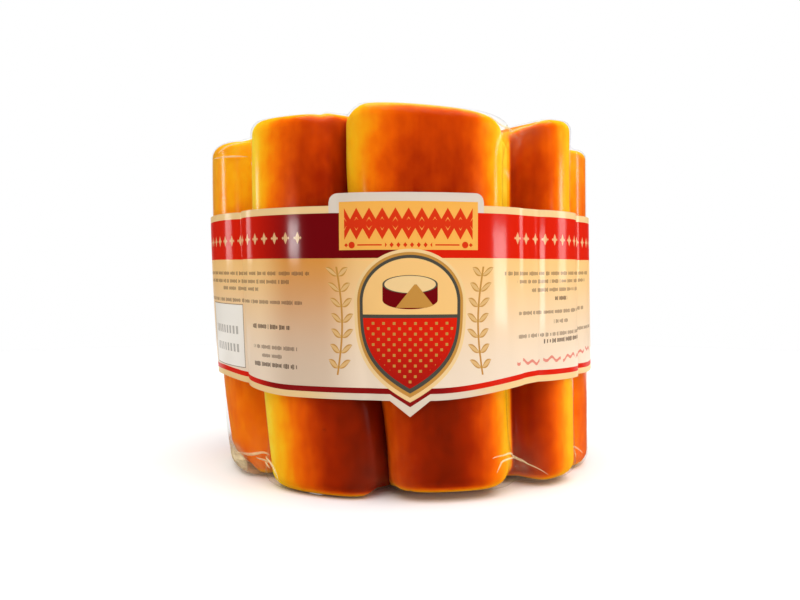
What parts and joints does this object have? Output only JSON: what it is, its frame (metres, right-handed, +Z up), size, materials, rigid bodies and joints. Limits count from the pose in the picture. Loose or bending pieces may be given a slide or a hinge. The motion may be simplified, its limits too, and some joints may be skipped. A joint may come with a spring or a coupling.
{
  "type": "smoked provolone cheese",
  "caption": "Whole smoked provolone with upright lobes, sealed in clear shrink film, with a printed band round its middle.",
  "frame": {"origin": "middle of the flat base, on the surface that the cheese stands on", "axes": "+Z up, -Y towards the front, where the band has its tab and its point"},
  "size_m": [0.1405, 0.1436, 0.1176],
  "materials": {
    "smoked_cheese": "smooth smoked rind, chestnut to amber on the crests and butter yellow in the valleys, seen through tight clear film",
    "clear_film": "clear glossy shrink film with fine creases",
    "printed_paper": "glossy coated paper printed in cream, tan and red"
  },
  "bodies": {
    "root": {"sealed_cheese": "smoked_cheese", "printed_band": "printed_paper"}
  },
  "joints": []
}
